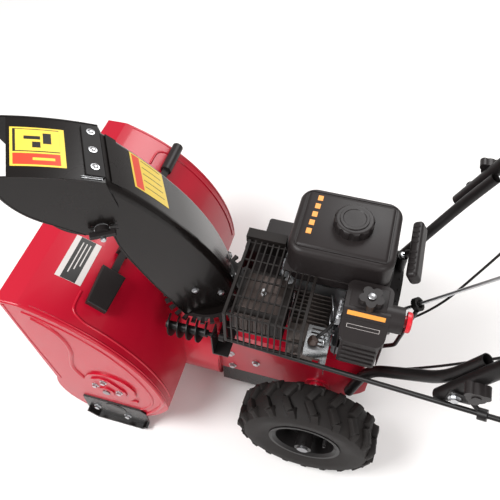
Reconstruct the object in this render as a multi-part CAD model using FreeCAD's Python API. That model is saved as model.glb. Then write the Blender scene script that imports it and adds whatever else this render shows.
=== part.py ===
"""Walk-behind petrol snow blower: auger housing, impeller, turning chute, engine, friction drive, handles.

Millimetres, +Z up. +X is the machine's left, the intake faces -Y and the operator stands at +Y.
The pieces are drawn from the middle of the housing's rear wall and saved moved by -MACHINE_MID along Y,
so the finished frame has its origin on the ground under the middle of the whole machine.
"""
import FreeCAD
import Part
import os
from math import sin, cos, tan, pi, radians, degrees, acos, sqrt

V = FreeCAD.Vector
os.makedirs("parts", exist_ok=True)

# ---- driving dimensions -------------------------------------------------------------------------
MACHINE_MID = 746.7          # half of the overall length, from the housing's front lip to the grips
SHEET = 3.0                  # housing, drum and frame steel
CLEAR = 0.06                 # radial running clearance of shafts in their bores
HOUSE_HALF = 285.0           # half of the intake's outer width
WALL_R = 380.0               # radius of the housing's rear wall
WALL_Z = 153.0               # height of that radius' centre
HOUSE_TOP = 521.0
HOUSE_FRONT = 46.0
AUGER_Y, AUGER_Z, AUGER_R = 230.0, 192.0, 139.0
DRUM_R, DRUM_Z, DRUM_BACK = 147.0, 164.0, 466.0
SHAFT_R = 9.5                # auger and impeller shafts
AXLE_R = 12.7
CHUTE_X, CHUTE_Y, RING_Z = 46.0, 418.0, 376.0
CHUTE_AIM = radians(30.0)    # the chute is turned this far to the machine's left at rest
RING_TEETH = 30
RING_R = 104.0
WORM_X = CHUTE_X + RING_R + 22.0
FRAME_HALF, FRAME_FRONT, FRAME_TOP, FRAME_BOTTOM = 127.0, 466.0, 313.0, 133.0
AXLE_Y, WHEEL_R, TYRE_MID, TYRE_WIDE = 719.0, 165.0, 242.0, 96.0
CRANK_Z = 419.0              # engine shaft height
HANDLE_X = 247.0
ELBOW = V(HANDLE_X, 962.0, 554.0)
SAVED = []


# ---- helpers ------------------------------------------------------------------------------------
def save(name, *shapes):
    """Write one sub-part, moved into the finished frame."""
    solids = [solid for shape in shapes for solid in shape.Solids]
    whole = solids[0] if len(solids) == 1 else Part.makeCompound(solids)
    whole.translate(V(0, -MACHINE_MID, 0))
    whole.exportStep("parts/" + name + ".step")
    SAVED.append(name)
    print(name, len(solids), "solids, valid", whole.isValid())


def box(x0, x1, y0, y1, z0, z1):
    return Part.makeBox(x1 - x0, y1 - y0, z1 - z0, V(x0, y0, z0))


def rounded(shape, radius, choose=None):
    """Round the edges that choose() picks, or all of them."""
    edges = [edge for edge in shape.Edges if choose is None or choose(edge)]
    return shape.makeFillet(radius, edges)


def upright(edge):
    a, b = edge.Vertexes[0].Point, edge.Vertexes[-1].Point
    return abs(a.x - b.x) < 0.01 and abs(a.y - b.y) < 0.01


def rod(a, b, radius, bore=0.0):
    """A round bar, or a tube, from a to b."""
    along = b - a
    bar = Part.makeCylinder(radius, along.Length, a, along)
    return bar.cut(Part.makeCylinder(bore, along.Length, a, along)) if bore else bar


def disc_y(x, z, radius, y0, y1, bore=0.0):
    return rod(V(x, y0, z), V(x, y1, z), radius, bore)


def disc_x(y, z, radius, x0, x1, bore=0.0):
    return rod(V(x0, y, z), V(x1, y, z), radius, bore)


def plate_x(points, x0, x1):
    """A flat plate with an outline in the Y-Z plane, from x0 to x1. A three-item point is an arc's middle."""
    edges = []
    last = V(x0, points[0][0], points[0][1])
    start = last
    middle = None
    for point in points[1:] + [points[0]]:
        here = V(x0, point[0], point[1])
        if len(point) == 3:
            middle = here
            continue
        here = start if point is points[0] else here
        edge = Part.Arc(last, middle, here).toShape() if middle else Part.LineSegment(last, here).toShape()
        edges.append(edge)
        middle = None
        last = here
    return Part.Face(Part.Wire(edges)).extrude(V(x1 - x0, 0, 0))


def bent_path(points, share=0.45, radius=None):
    """Straight runs joined by tangent arcs."""
    edges = []
    last = points[0]
    for before, corner, after in zip(points, points[1:], points[2:]):
        come = (corner - before).normalize()
        go = (after - corner).normalize()
        turn = acos(max(-1.0, min(1.0, come.dot(go))))
        run = min((corner - before).Length, (after - corner).Length)
        bend = radius or share * run / tan(turn / 2)
        reach = bend * tan(turn / 2)
        enter = corner - come * reach
        leave = corner + go * reach
        inward = (go - come).normalize()
        middle = corner + inward * (bend / cos(turn / 2) - bend)
        edges.append(Part.LineSegment(last, enter).toShape())
        edges.append(Part.Arc(enter, middle, leave).toShape())
        last = leave
    edges.append(Part.LineSegment(last, points[-1]).toShape())
    return Part.Wire(edges)


def bent_bar(points, radius, bore=0.0, bend=None):
    path = bent_path(points, radius=bend)
    start = (points[1] - points[0]).normalize()
    solids = []
    for size in (radius, bore):
        if size:
            ring = Part.Wire(Part.makeCircle(size, points[0], start))
            solids.append(path.makePipeShell([ring], True, True))
    return solids[0].cut(solids[1]) if bore else solids[0]


def bolt(place, out, size=6.0, tall=5.0):
    """A hexagon head with its washer, standing on a face."""
    out = V(out)
    out.normalize()
    side = V(0, 0, 1) if abs(out.z) < 0.9 else V(1, 0, 0)
    other = out.cross(side).normalize()
    side = other.cross(out).normalize()
    foot = place + out * 1.5
    corners = [foot + side * (size * cos(k * pi / 3)) + other * (size * sin(k * pi / 3)) for k in range(7)]
    head = Part.Face(Part.makePolygon(corners)).extrude(out * tall)
    return head.fuse(Part.makeCylinder(size * 1.45, 1.5, place, out))


def mirrored(shape):
    return shape.mirror(V(0, 0, 0), V(1, 0, 0))


def wall_y(z):
    """Where the housing's rear wall stands at height z."""
    return sqrt(WALL_R ** 2 - (z - WALL_Z) ** 2)


# ---- auger housing ------------------------------------------------------------------------------
FLOOR_Z = 13.0
FLOOR_END, HEEL_Y, HEEL_Z = 200.0, 318.0, 68.0      # where the floor ends and its curve up to the wall
LIP_Y = sqrt(WALL_R ** 2 - (HOUSE_TOP - WALL_Z) ** 2)


def housing_outline(shrink, front):
    """Rear wall, rounded down into the floor; shrink steps it inwards by a sheet."""
    big = WALL_R - shrink
    top = WALL_Z + sqrt(big ** 2 - LIP_Y ** 2)
    half = radians(35)
    return [(front, top), (LIP_Y, top), (big * cos(half), WALL_Z + big * sin(half), 0), (big, WALL_Z),
            (HEEL_Y - 0.75 * shrink, HEEL_Z + 0.75 * shrink, 0), (FLOOR_END, FLOOR_Z + shrink),
            (front + 110, FLOOR_Z + shrink)]


def housing_wrap():
    inner_half = HOUSE_HALF - SHEET
    outside = plate_x(housing_outline(0, HOUSE_FRONT), -inner_half, inner_half)
    inside = plate_x(housing_outline(SHEET, HOUSE_FRONT - 60), -inner_half, inner_half)
    shell = outside.cut(inside)
    shell = shell.cut(disc_y(0, DRUM_Z, DRUM_R - SHEET, 200, 420))
    lip = box(-inner_half, inner_half, HOUSE_FRONT, HOUSE_FRONT + SHEET, HOUSE_TOP - 16, HOUSE_TOP - SHEET)
    return shell.fuse(lip).removeSplitter()


def housing_side():
    arc_mid = radians(35)
    outline = [(HOUSE_FRONT, HOUSE_TOP), (LIP_Y, HOUSE_TOP),
               (WALL_R * cos(arc_mid), WALL_Z + WALL_R * sin(arc_mid), 0), (WALL_R, WALL_Z),
               (HEEL_Y, HEEL_Z, 0), (FLOOR_END, FLOOR_Z), (150, FLOOR_Z), (96, 62, 0), (83, 169)]
    plate = plate_x(outline, HOUSE_HALF - SHEET, HOUSE_HALF)
    pad = disc_x(AUGER_Y + 8, AUGER_Z + 12, 66, HOUSE_HALF, HOUSE_HALF + 5)
    plate = plate.fuse(pad)
    plate = plate.cut(disc_x(AUGER_Y, AUGER_Z, 21, HOUSE_HALF - 8, HOUSE_HALF + 8))
    return plate.removeSplitter()


def impeller_drum():
    """The round impeller case behind the housing, with its outlet neck and the flange the chute turns on."""
    barrel = disc_y(0, DRUM_Z, DRUM_R, 300, DRUM_BACK - SHEET, DRUM_R - SHEET)
    wall = plate_x(housing_outline(0, -200), -300, 300)
    barrel = barrel.cut(wall)
    back = disc_y(0, DRUM_Z, DRUM_R, DRUM_BACK - SHEET, DRUM_BACK)
    neck_r = 44.0
    mouth = Part.makeCylinder(neck_r, 400, V(CHUTE_X, CHUTE_Y, DRUM_Z))
    neck = Part.makeCylinder(neck_r + SHEET, RING_Z - 8 - DRUM_Z, V(CHUTE_X, CHUTE_Y, DRUM_Z)).cut(mouth)
    neck = neck.cut(disc_y(0, DRUM_Z, DRUM_R - SHEET, 300, DRUM_BACK + 30))
    flange = Part.makeCylinder(80, 5, V(CHUTE_X, CHUTE_Y, RING_Z - 9)).cut(mouth)
    drum = barrel.cut(mouth).fuse([back, neck, flange])
    drum = drum.cut(wall.copy())
    drum = drum.cut(disc_y(0, DRUM_Z, 18, DRUM_BACK - 20, DRUM_BACK + 20))
    return drum.removeSplitter()


save("housing_wrap", housing_wrap())
SIDE = housing_side()
save("housing_sides", SIDE, mirrored(SIDE))
save("impeller_drum", impeller_drum())

BAR = box(-HOUSE_HALF + 4, HOUSE_HALF - 4, 134, 196, FLOOR_Z - 6, FLOOR_Z - 0.4)
save("scraper_bar", rounded(BAR, 2.0, upright))

SHOE_FACE = HOUSE_HALF + 0.4
SHOE = plate_x([(139, 96), (300, 96), (312, 84), (312, 20), (296, 0), (166, 0), (139, 24)], SHOE_FACE, SHOE_FACE + 5)
FOOT = plate_x([(139, 24), (166, 0), (296, 0), (312, 20), (306, 20), (294, 5), (169, 5), (144, 27)],
               SHOE_FACE, SHOE_FACE + 17)
SHOE = SHOE.fuse(FOOT).removeSplitter()
save("skid_shoes", SHOE, mirrored(SHOE))


def auger_bearing():
    outline = [(186, 212), (196, 240), (222, 254), (244, 250), (280, 208), (280, 184), (250, 156), (206, 160), (186, 186)]
    flange = rounded(plate_x(outline, HOUSE_HALF + 5.2, HOUSE_HALF + 9), 9, lambda e: e.BoundBox.XLength > 3)
    flange = flange.cut(disc_x(AUGER_Y, AUGER_Z, SHAFT_R + CLEAR, HOUSE_HALF, HOUSE_HALF + 20))
    hub = disc_x(AUGER_Y, AUGER_Z, 20.5, HOUSE_HALF - 16, HOUSE_HALF + 13, SHAFT_R + CLEAR)
    return flange.fuse(hub).removeSplitter()


def axle_bearing():
    flange = disc_x(AXLE_Y, WHEEL_R, 30, FRAME_HALF + 0.2, FRAME_HALF + 4, AXLE_R + CLEAR)
    hub = disc_x(AXLE_Y, WHEEL_R, 18.5, FRAME_HALF - 14, FRAME_HALF + 10, AXLE_R + CLEAR)
    return flange.fuse(hub).removeSplitter()


EAR, HUB = auger_bearing(), axle_bearing()
save("shaft_bearings", EAR, mirrored(EAR), HUB, mirrored(HUB))


# ---- auger and its gearbox ----------------------------------------------------------------------
def auger_flight(hand):
    """One ribbon auger: hub tube, three pairs of spokes and a helical ribbon."""
    start, length = 44.0, 218.0
    ribbon_r = AUGER_R - 22
    helix = Part.makeHelix(length / 1.25, length, ribbon_r)
    section = Part.makePolygon([V(ribbon_r - 22, 0, -2.5), V(ribbon_r + 22, 0, -2.5), V(ribbon_r + 22, 0, 2.5),
                                V(ribbon_r - 22, 0, 2.5), V(ribbon_r - 22, 0, -2.5)])
    ribbon = Part.Wire(helix).makePipeShell([section], True, True)
    pieces = [ribbon]
    for step in range(6):
        angle = 360.0 * 1.25 * (step + 0.25) / 6.0
        height = length * (step + 0.25) / 6.0
        spoke = Part.makeBox(ribbon_r - 20, 22, 5, V(12, -11, -2.5))
        spoke.rotate(V(0, 0, 0), V(0, 0, 1), angle)
        spoke.translate(V(0, 0, height))
        pieces.append(spoke)
    hub = Part.makeCylinder(16, length + 6, V(0, 0, -3)).cut(Part.makeCylinder(SHAFT_R, length + 8, V(0, 0, -4)))
    whole = hub.fuse(pieces)
    whole.rotate(V(0, 0, 0), V(0, 1, 0), 90)
    whole.translate(V(start, AUGER_Y, AUGER_Z))
    return whole if hand > 0 else mirrored(whole)


save("auger_left", auger_flight(1))
save("auger_right", auger_flight(-1))
save("auger_shaft", disc_x(AUGER_Y, AUGER_Z, SHAFT_R, -HOUSE_HALF - 16, HOUSE_HALF + 16))

WHEEL_PITCH = 18.6           # worm wheel, with a worm of the rest of the shafts' distance
WORM_PITCH = AUGER_Z - DRUM_Z - WHEEL_PITCH - 0.15
save("worm_wheel", disc_x(AUGER_Y, AUGER_Z, WHEEL_PITCH, -9, 9, SHAFT_R))


def gearbox():
    """Cast case around the worm wheel, open only for the two shafts."""
    case = disc_x(AUGER_Y, AUGER_Z, 29, -18, 18)
    tunnel = disc_y(0, DRUM_Z, 19, AUGER_Y - 36, AUGER_Y + 60)
    bosses = disc_x(AUGER_Y, AUGER_Z, 18, -38, 38)
    case = case.fuse([tunnel, bosses])
    case = case.cut(disc_x(AUGER_Y, AUGER_Z, 22, -12, 12))
    case = case.cut(disc_y(0, DRUM_Z, 12, AUGER_Y - 30, AUGER_Y + 30))
    case = case.cut(disc_y(0, DRUM_Z, 8 + CLEAR, AUGER_Y - 30, AUGER_Y + 70))
    return case.cut(disc_x(AUGER_Y, AUGER_Z, SHAFT_R + CLEAR, -50, 50)).removeSplitter()


save("auger_gearbox", gearbox())

# ---- impeller, its shaft and pulley -------------------------------------------------------------
BELT_Y = 548.0               # plane of the two belts' front one
shaft = disc_y(0, DRUM_Z, 8, AUGER_Y - 26, BELT_Y + 9.5)
save("impeller_shaft", shaft.fuse(disc_y(0, DRUM_Z, WORM_PITCH, AUGER_Y - 22, AUGER_Y + 22)).removeSplitter())


def impeller():
    hub = disc_y(0, DRUM_Z, 20, 372, 452, 8)
    pieces = []
    for blade in range(4):
        vane = box(14, 138, 376, 450, DRUM_Z - 3, DRUM_Z + 3)
        tip = box(120, 138, 376, 450, DRUM_Z - 3, DRUM_Z + 16)
        vane = vane.fuse(tip)
        vane.rotate(V(0, 0, DRUM_Z), V(0, 1, 0), 90 * blade + 20)
        pieces.append(vane)
    return hub.fuse(pieces).removeSplitter()


def pulley(x, z, radius, middle, bore):
    """A V-belt pulley with its groove."""
    wide = 9
    profile = [V(bore, middle - wide, 0), V(radius, middle - wide, 0), V(radius, middle - 7, 0),
               V(radius - 11, middle - 3.5, 0), V(radius - 11, middle + 3.5, 0), V(radius, middle + 7, 0),
               V(radius, middle + wide, 0), V(bore, middle + wide, 0), V(bore, middle - wide, 0)]
    wheel = Part.Face(Part.makePolygon(profile)).revolve(V(0, 0, 0), V(0, 1, 0), 360)
    wheel.translate(V(x, 0, z))
    return wheel


save("impeller", impeller())
save("impeller_pulley", pulley(0, DRUM_Z, 92, BELT_Y, 8))

# ---- frame box, belt cover, belts ---------------------------------------------------------------
TAIL = [(FRAME_FRONT, FRAME_BOTTOM), (FRAME_FRONT, FRAME_TOP), (812, FRAME_TOP), (834, 290), (834, 196),
        (800, 150, 0), (760, FRAME_BOTTOM)]


def frame_box():
    outside = plate_x(TAIL, -FRAME_HALF, FRAME_HALF)
    inside = box(-FRAME_HALF + SHEET, FRAME_HALF - SHEET, FRAME_FRONT + SHEET, 831, 20, FRAME_TOP - SHEET)
    shell = outside.cut(inside)
    shell = shell.cut(disc_x(AXLE_Y, WHEEL_R, 19, -200, 200))
    shell = shell.cut(disc_y(0, DRUM_Z, 14, 440, 500))
    shell = shell.cut(box(-64, 58, 536, 584, FRAME_TOP - 10, FRAME_TOP + 10))
    for side in (-1, 1):
        edge = sorted((side * FRAME_HALF, side * (FRAME_HALF + 14)))
        shell = shell.fuse(box(edge[0], edge[1], FRAME_FRONT, FRAME_FRONT + SHEET, FRAME_BOTTOM + 8, FRAME_TOP - 8))
    return shell.removeSplitter()


save("frame_box", frame_box())


def bottom_cover():
    """Pan bolted under the frame, deep in front for the belt pulleys and shallow under the axle gear."""
    high = FRAME_BOTTOM - 0.4
    deep = [(FRAME_FRONT + 4, high), (FRAME_FRONT + 4, 62), (650, 62), (690, 96), (772, 96), (772, high)]
    hollow = [(FRAME_FRONT + 6, high + 1), (FRAME_FRONT + 6, 64), (649, 64), (689, 98), (770, 98), (770, high + 1)]
    pan = plate_x(deep, -FRAME_HALF + 1, FRAME_HALF - 1)
    return pan.cut(plate_x(hollow, -FRAME_HALF + 3, FRAME_HALF - 3)).removeSplitter()


save("bottom_cover", bottom_cover())


def belt_cover():
    """Black plastic cover in front of the engine, with a wing beside the chute ring."""
    main = box(-118, 62, 530, 588, FRAME_TOP + 0.4, 478)
    main = rounded(main, 16, lambda e: e.BoundBox.ZMin > 470 and e.BoundBox.XLength < 1 or upright(e) and
                   e.BoundBox.YMax < 540)
    wing = plate_x([(472, FRAME_TOP + 0.4), (480, 408), (540, 412), (540, FRAME_TOP + 0.4)], -118, -64)
    cover = main.fuse(wing)
    hollow = box(-114, 58, 534, 600, FRAME_TOP - 5, 472).fuse(box(-114, -68, 486, 540, FRAME_TOP - 5, 402))
    return cover.cut(hollow).removeSplitter()


save("belt_cover", belt_cover())


def belt(top_r, low_r, low_x, low_z, middle):
    """A V-belt loop round the engine pulley and the driven pulley, hanging slack in their grooves."""
    across = V(low_x, 0, low_z - CRANK_Z)
    span = across.Length
    lean = acos((low_r - top_r) / span)
    down = across.normalize()
    side = V(-down.z, 0, down.x)

    def loop(extra):
        points = []
        for sign in (1, -1):
            out = down * (-cos(lean)) + side * (sin(lean) * sign)
            points.append((V(0, 0, CRANK_Z) + out * (top_r + extra), V(low_x, 0, low_z) + out * (low_r + extra)))
        high = V(0, 0, CRANK_Z) - down * (top_r + extra)
        low = V(low_x, 0, low_z) + down * (low_r + extra)
        edges = [Part.LineSegment(points[0][0], points[0][1]).toShape(), Part.Arc(points[0][1], low, points[1][1]).toShape(),
                 Part.LineSegment(points[1][1], points[1][0]).toShape(), Part.Arc(points[1][0], high, points[0][0]).toShape()]
        face = Part.Face(Part.Wire(edges))
        face.translate(V(0, middle - 3.0, 0))
        return face.extrude(V(0, 6.0, 0))

    return loop(4.0).cut(loop(-4.0))


REAR_BELT_Y = BELT_Y + 21.0
DISC_X, DISC_Z = 0.0, 225.0
save("drive_belts", belt(27, 85, 0, DRUM_Z, BELT_Y), belt(27, 65, DISC_X, DISC_Z, REAR_BELT_Y))
save("engine_pulleys", pulley(0, CRANK_Z, 33, BELT_Y, 12), pulley(0, CRANK_Z, 33, REAR_BELT_Y, 12))

# ---- friction drive, axle and wheels ------------------------------------------------------------
disc = pulley(DISC_X, DISC_Z, 71, REAR_BELT_Y, 10).fuse(disc_y(DISC_X, DISC_Z, 8, REAR_BELT_Y + 9, 600))
disc = disc.fuse(disc_y(DISC_X, DISC_Z, 78, 600, 606)).fuse(disc_y(DISC_X, DISC_Z, 10, REAR_BELT_Y - 9, REAR_BELT_Y + 9))
save("friction_disc", disc.removeSplitter())
HEX_Y, HEX_Z, PINION_R = 672.0, 225.0, 16.0
hexagon = Part.makePolygon([V(-118, HEX_Y + 9 * cos(k * pi / 3), HEX_Z + 9 * sin(k * pi / 3)) for k in range(7)])
hex_shaft = Part.Face(hexagon).extrude(V(236, 0, 0))
wheel = disc_x(HEX_Y, HEX_Z, 63, 30, 42)
save("friction_wheel", hex_shaft.fuse([wheel, disc_x(HEX_Y, HEX_Z, 26, 16, 56), disc_x(HEX_Y, HEX_Z, PINION_R, 92, 108)]))
GEAR_R = sqrt((AXLE_Y - HEX_Y) ** 2 + (WHEEL_R - HEX_Z) ** 2) - PINION_R - 0.3
HUB_OUT = TYRE_MID + 56
axle = disc_x(AXLE_Y, WHEEL_R, AXLE_R, -HUB_OUT, HUB_OUT).fuse(disc_x(AXLE_Y, WHEEL_R, GEAR_R, 94, 106))
save("axle", axle.removeSplitter())


def revolve_x(profile, middle):
    """Spin an outline of (across, radius) pairs round the axle."""
    face = Part.Face(Part.makePolygon([V(a, r, 0) for a, r in profile + profile[:1]]))
    ring = face.revolve(V(0, 0, 0), V(1, 0, 0), 360)
    ring.translate(V(middle, AXLE_Y, WHEEL_R))
    return ring


def rim(side):
    """Two pressed halves make the rim, welded to a hub tube that is pinned to the axle."""
    outline = [(-40, 85), (-40, 78), (-34, 74), (-10, 70), (-10, 20), (-34, 20), (-34, AXLE_R), (52, AXLE_R),
               (52, 20), (-4, 20), (-4, 66), (34, 70), (40, 78), (40, 85), (36, 85), (30, 78), (-30, 78), (-36, 85)]
    shape = revolve_x([(a, r) for a, r in outline], TYRE_MID)
    pin = rod(V(TYRE_MID + 46, AXLE_Y, WHEEL_R + 13), V(TYRE_MID + 46, AXLE_Y, WHEEL_R + 24), 4)
    shape = shape.fuse(pin)
    return shape if side > 0 else mirrored(shape)


def tyre(side):
    half = TYRE_WIDE / 2
    outline = [(-29.6, 78.4), (-35.7, 85.5), (-38, 93), (-half + 3, 112), (-half, 135), (-half + 6, 154),
               (-half + 20, WHEEL_R), (half - 20, WHEEL_R), (half - 6, 154), (half, 135), (half - 3, 112), (38, 93),
               (35.7, 85.5), (29.6, 78.4), (22, 78.4), (30, 94), (38, 114), (42, 135), (34, 150), (22, 156), (-22, 156),
               (-34, 150), (-42, 135), (-38, 114), (-30, 94), (-22, 78.4)]
    shape = revolve_x(outline, TYRE_MID)
    return shape if side > 0 else mirrored(shape)


save("wheel_rims", rim(1), rim(-1))
save("tyres", tyre(1), tyre(-1))

# ---- chute, its ring gear and crank worm --------------------------------------------------------
CHUTE_HALF = 70.0
HINGE_S, HINGE_ZZ = 158.0, 836.0
KNOB_S, KNOB_ZZ = 184.0, 732.0
GEAR_PITCH_R = RING_R - 1.0
WORM_LEAD = 2 * pi * GEAR_PITCH_R / RING_TEETH
WORM_R, WORM_CORE = 25.0, 9.0


def aimed(shape):
    """Turn a piece drawn pointing straight ahead round its own middle to the chute's rest direction."""
    shape.rotate(V(0, 0, 0), V(0, 0, 1), degrees(CHUTE_AIM))
    shape.translate(V(CHUTE_X, CHUTE_Y, 0))
    return shape


def side_plate(points, x0, x1):
    """Like plate_x, with its outline given as (forward, height) pairs."""
    return plate_x([(-p[0],) + tuple(p[1:]) for p in points], x0, x1)


def chute_ring():
    """Ring gear under the chute, with two keepers that hook below the neck's flange."""
    ring = Part.makeCylinder(RING_R + 3, 7, V(0, 0, RING_Z - 3.6))
    for tooth in range(RING_TEETH):
        slot = Part.makeBox(22, 12, 12, V(RING_R - 12, -6, RING_Z - 6))
        slot.rotate(V(0, 0, 0), V(0, 0, 1), 360.0 / RING_TEETH * (tooth + 0.5) - degrees(CHUTE_AIM))
        ring = ring.cut(slot)
    hole = Part.makeCylinder(58, 20, V(0, 0, RING_Z - 10))
    for turn in (100, 220, 340):
        post = Part.makeBox(10, 24, 12.4, V(81, -12, RING_Z - 16))
        hook = Part.makeBox(20, 24, 4, V(71, -12, RING_Z - 16))
        keeper = post.fuse(hook)
        keeper.rotate(V(0, 0, 0), V(0, 0, 1), turn)
        ring = ring.fuse(keeper)
    return aimed(ring.cut(hole).removeSplitter())


def chute():
    """The bent channel: two flat sides and a back with rounded corners, open towards the throw."""
    base = RING_Z + 3.8
    back = [(-70, base), (-22, 548, 0), (43, 678), (97, 762, 0), (HINGE_S - 4, HINGE_ZZ - 2)]
    front = [(HINGE_S + 10, HINGE_ZZ - 12), (HINGE_S + 12, 700), (160, 640), (124, 532), (84, 428), (66, base)]
    outside = side_plate(back + front, -CHUTE_HALF, CHUTE_HALF)
    long_edges = [e for e in outside.Edges if abs(abs(e.Vertexes[0].X) - CHUTE_HALF) < 0.1 and
                  e.Vertexes[0].X == e.Vertexes[-1].X and e.Curve.TypeId == "Part::GeomCircle"]
    outside = outside.makeFillet(14, long_edges)
    back_in = [(p[0] + SHEET,) + tuple(p[1:]) for p in back]
    back_in[0] = (back_in[0][0] - 2, base - 20)
    front_in = [(400, HINGE_ZZ + 60), (400, base - 20)]
    back_in.append((HINGE_S + 60, HINGE_ZZ + 60))
    inside = side_plate(back_in + front_in, SHEET - CHUTE_HALF, CHUTE_HALF - SHEET)
    inner_edges = [e for e in inside.Edges if abs(abs(e.Vertexes[0].X) - CHUTE_HALF + SHEET) < 0.1 and
                   e.Vertexes[0].X == e.Vertexes[-1].X and e.Curve.TypeId == "Part::GeomCircle"]
    inside = inside.makeFillet(11, inner_edges)
    shell = outside.cut(inside)
    rim_plate = Part.makeCylinder(86, 3, V(0, 0, base)).cut(Part.makeCylinder(60, 3, V(0, 0, base)))
    shell = shell.fuse(rim_plate)
    reach = sqrt((KNOB_S - HINGE_S) ** 2 + (KNOB_ZZ - HINGE_ZZ) ** 2)
    return aimed(shell.removeSplitter()), reach


CHUTE, KNOB_REACH = chute()
save("chute_ring", chute_ring())
save("chute", CHUTE)


def deflector():
    """Tilting hood on its hinge pin over the chute's end, and the strap that covers the pin."""
    half = CHUTE_HALF + 4
    outline = [(HINGE_S - 2, HINGE_ZZ + 3), (240, 874, 0), (318, 896), (326, 862), (306, 812, 0), (262, 764),
               (214, 722, 0), (KNOB_S - 16, 716), (HINGE_S - 12, 776)]
    outside = side_plate(outline, -half, half)
    inner = [(HINGE_S - 60, HINGE_ZZ - 26), (HINGE_S - 2, HINGE_ZZ), (240, 871, 0), (420, 924), (420, 640), (60, 640)]
    inside = side_plate(inner, SHEET - half, half - SHEET)
    pin = Part.makeCylinder(2.6, 2 * half - 4, V(2 - half, -HINGE_S, HINGE_ZZ), V(1, 0, 0))
    hood = outside.cut(inside).fuse(pin).removeSplitter()
    strap = side_plate([(HINGE_S - 2, HINGE_ZZ + 3.2), (HINGE_S + 26, HINGE_ZZ + 17),
                        (HINGE_S + 24, HINGE_ZZ + 21), (HINGE_S - 4, HINGE_ZZ + 7)], -62, 62)
    return aimed(hood), aimed(strap)


HOOD, STRAP = deflector()
save("deflector", HOOD)
save("deflector_hinge", STRAP)


def wing_knob(flange_r, stem, wing):
    """A knob with two wings, drawn along +X from its seat."""
    hub = Part.makeCylinder(flange_r, stem, V(0, 0, 0), V(1, 0, 0))
    wings = box(stem * 0.4, stem + 9, -wing, wing, -3.5, 3.5)
    wings = rounded(wings, 3.0)
    return hub.fuse(wings).removeSplitter()


knob = wing_knob(13, 12, 24)
knob.translate(V(CHUTE_HALF + 4.4, -KNOB_S, KNOB_ZZ))
save("deflector_knob", aimed(knob))

WORM_Y0, WORM_Y1 = 362.0, 460.0
JOINT_Y = 486.0              # the universal joint between the worm and the crank rod
EYE = V(283.0, 1012.0, 550.0)


def chute_worm():
    length = WORM_Y1 - WORM_Y0
    helix = Part.makeHelix(WORM_LEAD, length - 4, WORM_R)
    section = Part.makePolygon([V(WORM_CORE - 2, 0, -2), V(WORM_R, 0, -1.6), V(WORM_R, 0, 1.6), V(WORM_CORE - 2, 0, 2),
                                V(WORM_CORE - 2, 0, -2)])
    thread = Part.Wire(helix).makePipeShell([section], True, True)
    thread.translate(V(0, 0, 2))
    thread.rotate(V(0, 0, 0), V(0, 0, 1), WORM_PHASE)
    core = Part.makeCylinder(WORM_CORE, length, V(0, 0, 0))
    core = core.fuse(Part.makeCylinder(5, JOINT_Y - WORM_Y0 - 8, V(0, 0, 0)))
    worm = core.fuse(thread)
    worm.rotate(V(0, 0, 0), V(1, 0, 0), -90)
    worm.translate(V(WORM_X, WORM_Y0, RING_Z))
    return worm.removeSplitter()


WORM_PHASE = 180.0
save("chute_worm", chute_worm())

JOINT = V(WORM_X, JOINT_Y, RING_Z)
RUN = (EYE - JOINT).normalize()
CRANK_END = EYE + RUN * 40


def crank_rod():
    """Long rod, its yoke at the universal joint and the crank arm by the operator."""
    yoke = rod(JOINT + RUN * 4, JOINT + RUN * 18, 9)
    arm_out = RUN.cross(V(1, 0, 0)).normalize()
    arm_out = arm_out if arm_out.z > 0 else arm_out * -1
    top = CRANK_END + arm_out * 70
    bar = bent_bar([JOINT + RUN * 10, CRANK_END, top, top + V(0, 84, 0)], 5.0, bend=14)
    return bar.fuse(yoke).removeSplitter(), top


ROD, CRANK_TOP = crank_rod()
save("crank_rod", ROD)
GRIP = rod(CRANK_TOP + V(0, 20, 0), CRANK_TOP + V(0, 88, 0), 11)
save("crank_knob", rounded(GRIP, 5).cut(rod(CRANK_TOP, CRANK_TOP + V(0, 84.3, 0), 5 + CLEAR)))

# ---- handles ------------------------------------------------------------------------------------
LOWER_R, UPPER_R = 12.5, 15.0
LOWER_X, GRIP_BACK = 221.0, 1446.0
LOWER = [V(142, 796, 205), V(142, 822, 335), V(LOWER_X, 950, 532), V(LOWER_X, 994, 630)]
UPPER = [V(249, 944, 512), V(249, 1006, 656), V(249, 1120, 905), V(262, 1225, 962), V(270, GRIP_BACK, 976)]
PIVOT = V(262, 1236, 1000)


def upper_handle():
    tube = bent_bar(UPPER, UPPER_R, UPPER_R - 2)
    tab = box(PIVOT.x - 6, PIVOT.x - 2, PIVOT.y - 16, PIVOT.y + 16, 972, PIVOT.z + 10)
    pin = disc_x(PIVOT.y, PIVOT.z, 4, PIVOT.x - 8, PIVOT.x + 16)
    return tube.fuse([tab, pin]).removeSplitter()


low_tube = bent_bar(LOWER, LOWER_R, LOWER_R - 2)
save("lower_handles", low_tube, mirrored(low_tube))
high_tube = upper_handle()
save("upper_handles", high_tube, mirrored(high_tube))
along_grip = (UPPER[4] - UPPER[3]).normalize()
grip = rod(UPPER[4] - along_grip * 130, UPPER[4], 18.5, UPPER_R + 0.1)
save("handle_grips", grip, mirrored(grip))


def clutch_lever():
    hub = disc_x(PIVOT.y, PIVOT.z, 9, PIVOT.x - 1.6, PIVOT.x + 12, 4 + CLEAR)
    blade = bent_bar([V(266, PIVOT.y + 8, PIVOT.z + 2), V(267, 1300, 1034), V(269, GRIP_BACK - 6, 1042)], 5.5)
    return hub.fuse(blade).cut(disc_x(PIVOT.y, PIVOT.z, 4 + CLEAR, 200, 300)).removeSplitter()


LEVER = clutch_lever()
save("clutch_lever_left", LEVER)
save("clutch_lever_right", mirrored(LEVER))


SLIDE = V(0, 0.634, 0.773)   # direction of the gear selector's rod
ROD_TOP = V(0, 1165, 765)
SHIFT_PIVOT = ROD_TOP + V(0, -0.773, 0.634) * 95


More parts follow.
